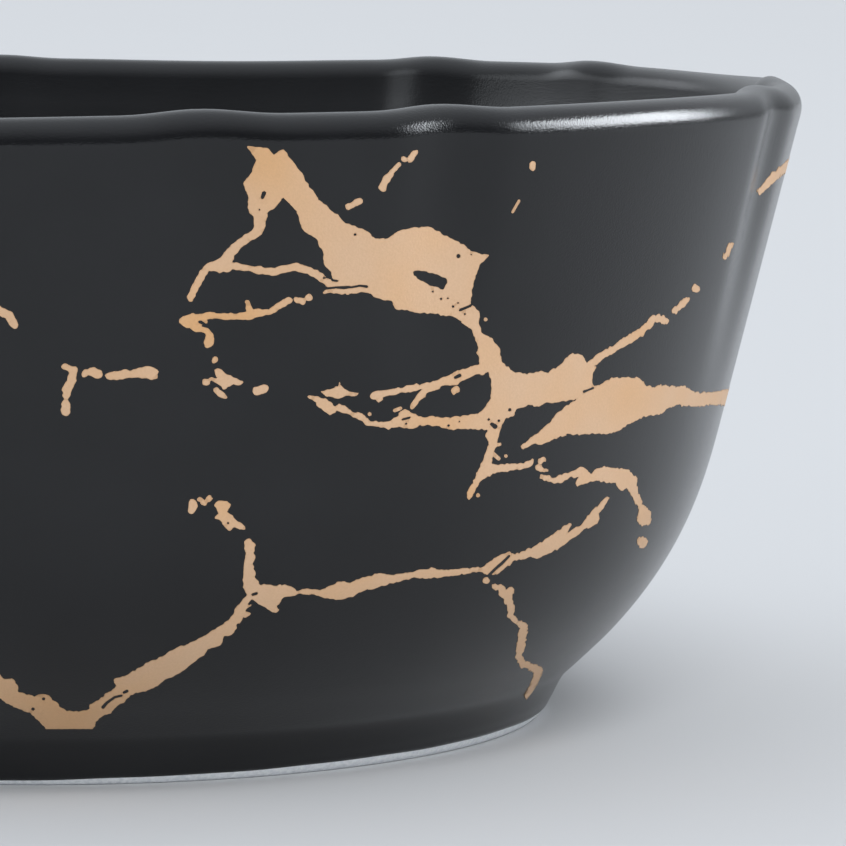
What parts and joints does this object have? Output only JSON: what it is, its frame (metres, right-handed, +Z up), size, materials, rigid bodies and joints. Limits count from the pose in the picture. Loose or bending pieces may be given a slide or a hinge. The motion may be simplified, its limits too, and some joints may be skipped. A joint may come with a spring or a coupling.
{
  "type": "soup bowl",
  "caption": "Lobed soup bowl in satin black glaze with a rolled lip, a low foot and gilt kintsugi-style veins over its outside.",
  "frame": {"origin": "centre of the foot, on the surface that the bowl stands on", "axes": "+Z up through the mouth; -Y towards the side with the largest patches of gilding, +X to the right when seen from there"},
  "size_m": [0.1989, 0.1993, 0.0869],
  "materials": {
    "glaze": "satin-matt black glaze, faintly blue, with a fine speckle",
    "gilt": "thin pale rose-gold gilding fired on the glaze, matt and finely grained"
  },
  "bodies": {
    "root": {"bowl": "glaze"}
  },
  "joints": []
}
